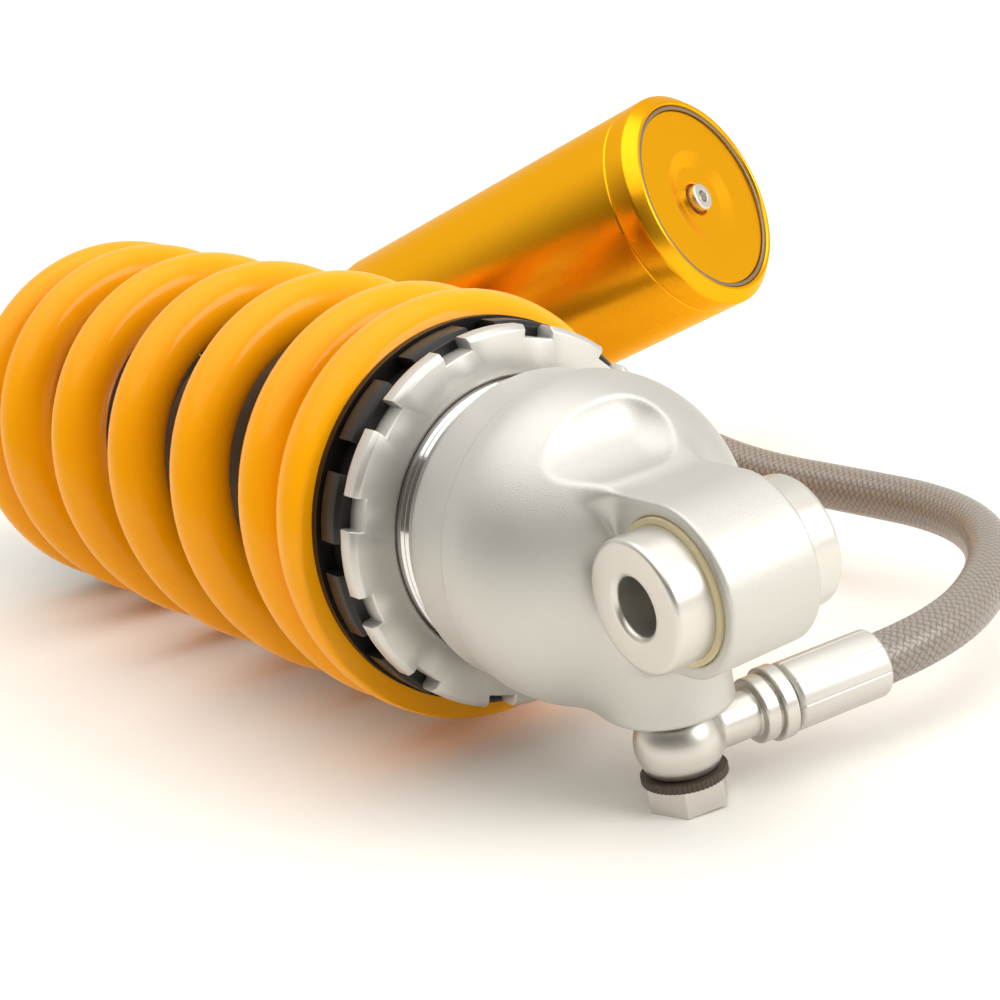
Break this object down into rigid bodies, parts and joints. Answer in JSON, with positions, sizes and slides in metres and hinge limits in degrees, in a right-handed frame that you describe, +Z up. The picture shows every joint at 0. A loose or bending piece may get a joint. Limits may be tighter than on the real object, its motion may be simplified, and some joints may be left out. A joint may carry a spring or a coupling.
{
  "type": "motorcycle rear shock absorber",
  "caption": "Coil-over rear shock with notched preload rings, a steel-sleeved upper eye, a lower fork mount and a braided hose to a remote gas reservoir.",
  "frame": {"origin": "centre of the upper eye's bore", "axes": "+X along the upper eye's bore towards the hose side, +Y along the damper from the upper eye to the lower fork, +Z up when the shock lies on its banjo bolt"},
  "size_m": [0.1865, 0.3195, 0.0939],
  "materials": {
    "cast_aluminium": "bead-blasted and clear anodised",
    "turned_aluminium": "satin turned and anodised",
    "black_aluminium": "black anodised",
    "gold_aluminium": "satin gold anodised",
    "tube_steel": "bright nickel plate",
    "spring_steel": "glossy yellow powder coat",
    "bright_steel": "satin zinc-nickel plate",
    "rod_chrome": "polished hard chrome",
    "shim_steel": "rolled spring steel",
    "bush_plastic": "pale bearing plastic",
    "bump_foam": "closed-cell foam rubber",
    "seal_rubber": "moulded nitrile rubber",
    "bonded_seal": "dark bonded sealing washer",
    "band_ptfe": "bronze-filled slide band",
    "hose_braid": "woven grey braid under a clear coat"
  },
  "bodies": {
    "damper": {"banjo_bolt": "bright_steel", "banjo_fitting": "bright_steel", "body_tube": "tube_steel", "cap_retaining_ring": "shim_steel", "coil_spring": "spring_steel", "cylinder_head": "cast_aluminium", "end_cap": "black_aluminium", "eye_bush": "bush_plastic", "gas_valve_screw": "bright_steel", "hose": "hose_braid", "hose_ferrule": "turned_aluminium", "lower_seal_washer": "bonded_seal", "reservoir_block": "turned_aluminium", "reservoir_body": "gold_aluminium", "reservoir_cap": "gold_aluminium", "reservoir_ferrule": "turned_aluminium", "reservoir_union": "bright_steel", "rod_bushing": "band_ptfe", "rod_guide": "turned_aluminium", "rod_guide_o_ring": "seal_rubber", "rod_seal": "seal_rubber", "upper_seal_washer": "bonded_seal", "upper_spring_seat": "black_aluminium", "wiper_seal": "seal_rubber"},
    "rod": {"piston_rod": "rod_chrome", "piston_nut": "bright_steel", "compression_shims": "shim_steel", "piston": "turned_aluminium", "piston_band": "band_ptfe", "rebound_shims": "shim_steel", "top_out_spacer": "bright_steel", "bump_stop": "bump_foam", "bump_cup": "turned_aluminium", "lower_clevis": "turned_aluminium", "lower_spring_seat": "black_aluminium", "rebound_needle": "bright_steel"},
    "lock_ring": {"lock_ring": "turned_aluminium"},
    "preload_ring": {"preload_ring": "black_aluminium"},
    "eye_sleeve": {"eye_sleeve": "bright_steel"},
    "rebound_wheel": {"rebound_wheel": "black_aluminium"},
    "compression_knob": {"compression_knob": "black_aluminium"},
    "floating_piston": {"floating_piston": "turned_aluminium", "floating_piston_ring": "band_ptfe"}
  },
  "joints": [
    {"name": "rod_stroke", "type": "slide", "parent": "damper", "child": "rod", "axis": [0, -1, 0], "range_m": [0, 0.052], "stiffness_N_per_m": 115000, "deforming": ["coil_spring"]},
    {"name": "eye_sleeve_turn", "type": "hinge", "parent": "damper", "child": "eye_sleeve", "pos_m": [0, 0, 0], "axis": [1, 0, 0], "continuous": true},
    {"name": "lock_ring_turn", "type": "hinge", "parent": "damper", "child": "lock_ring", "pos_m": [0, 0.0593, 0], "axis": [0, 1, 0], "range_deg": [-360, 360]},
    {"name": "preload_ring_turn", "type": "hinge", "parent": "damper", "child": "preload_ring", "pos_m": [0, 0.065, 0], "axis": [0, 1, 0], "range_deg": [-360, 360]},
    {"name": "rebound_wheel_turn", "type": "hinge", "parent": "rod", "child": "rebound_wheel", "pos_m": [0, 0.244, 0], "axis": [0, 1, 0], "range_deg": [0, 1260]},
    {"name": "compression_knob_turn", "type": "hinge", "parent": "damper", "child": "compression_knob", "pos_m": [0.07968, 0.24701, -0.01587], "axis": [-0.3825, 0.855, -0.3502], "range_deg": [0, 720]},
    {"name": "floating_piston_slide", "type": "slide", "parent": "damper", "child": "floating_piston", "axis": [0.3825, -0.855, 0.3502], "range_m": [0, 0.0066]}
  ],
  "couplings": [
    {"joint": "floating_piston_slide", "follows": "rod_stroke", "ratio": 0.1264}
  ]
}
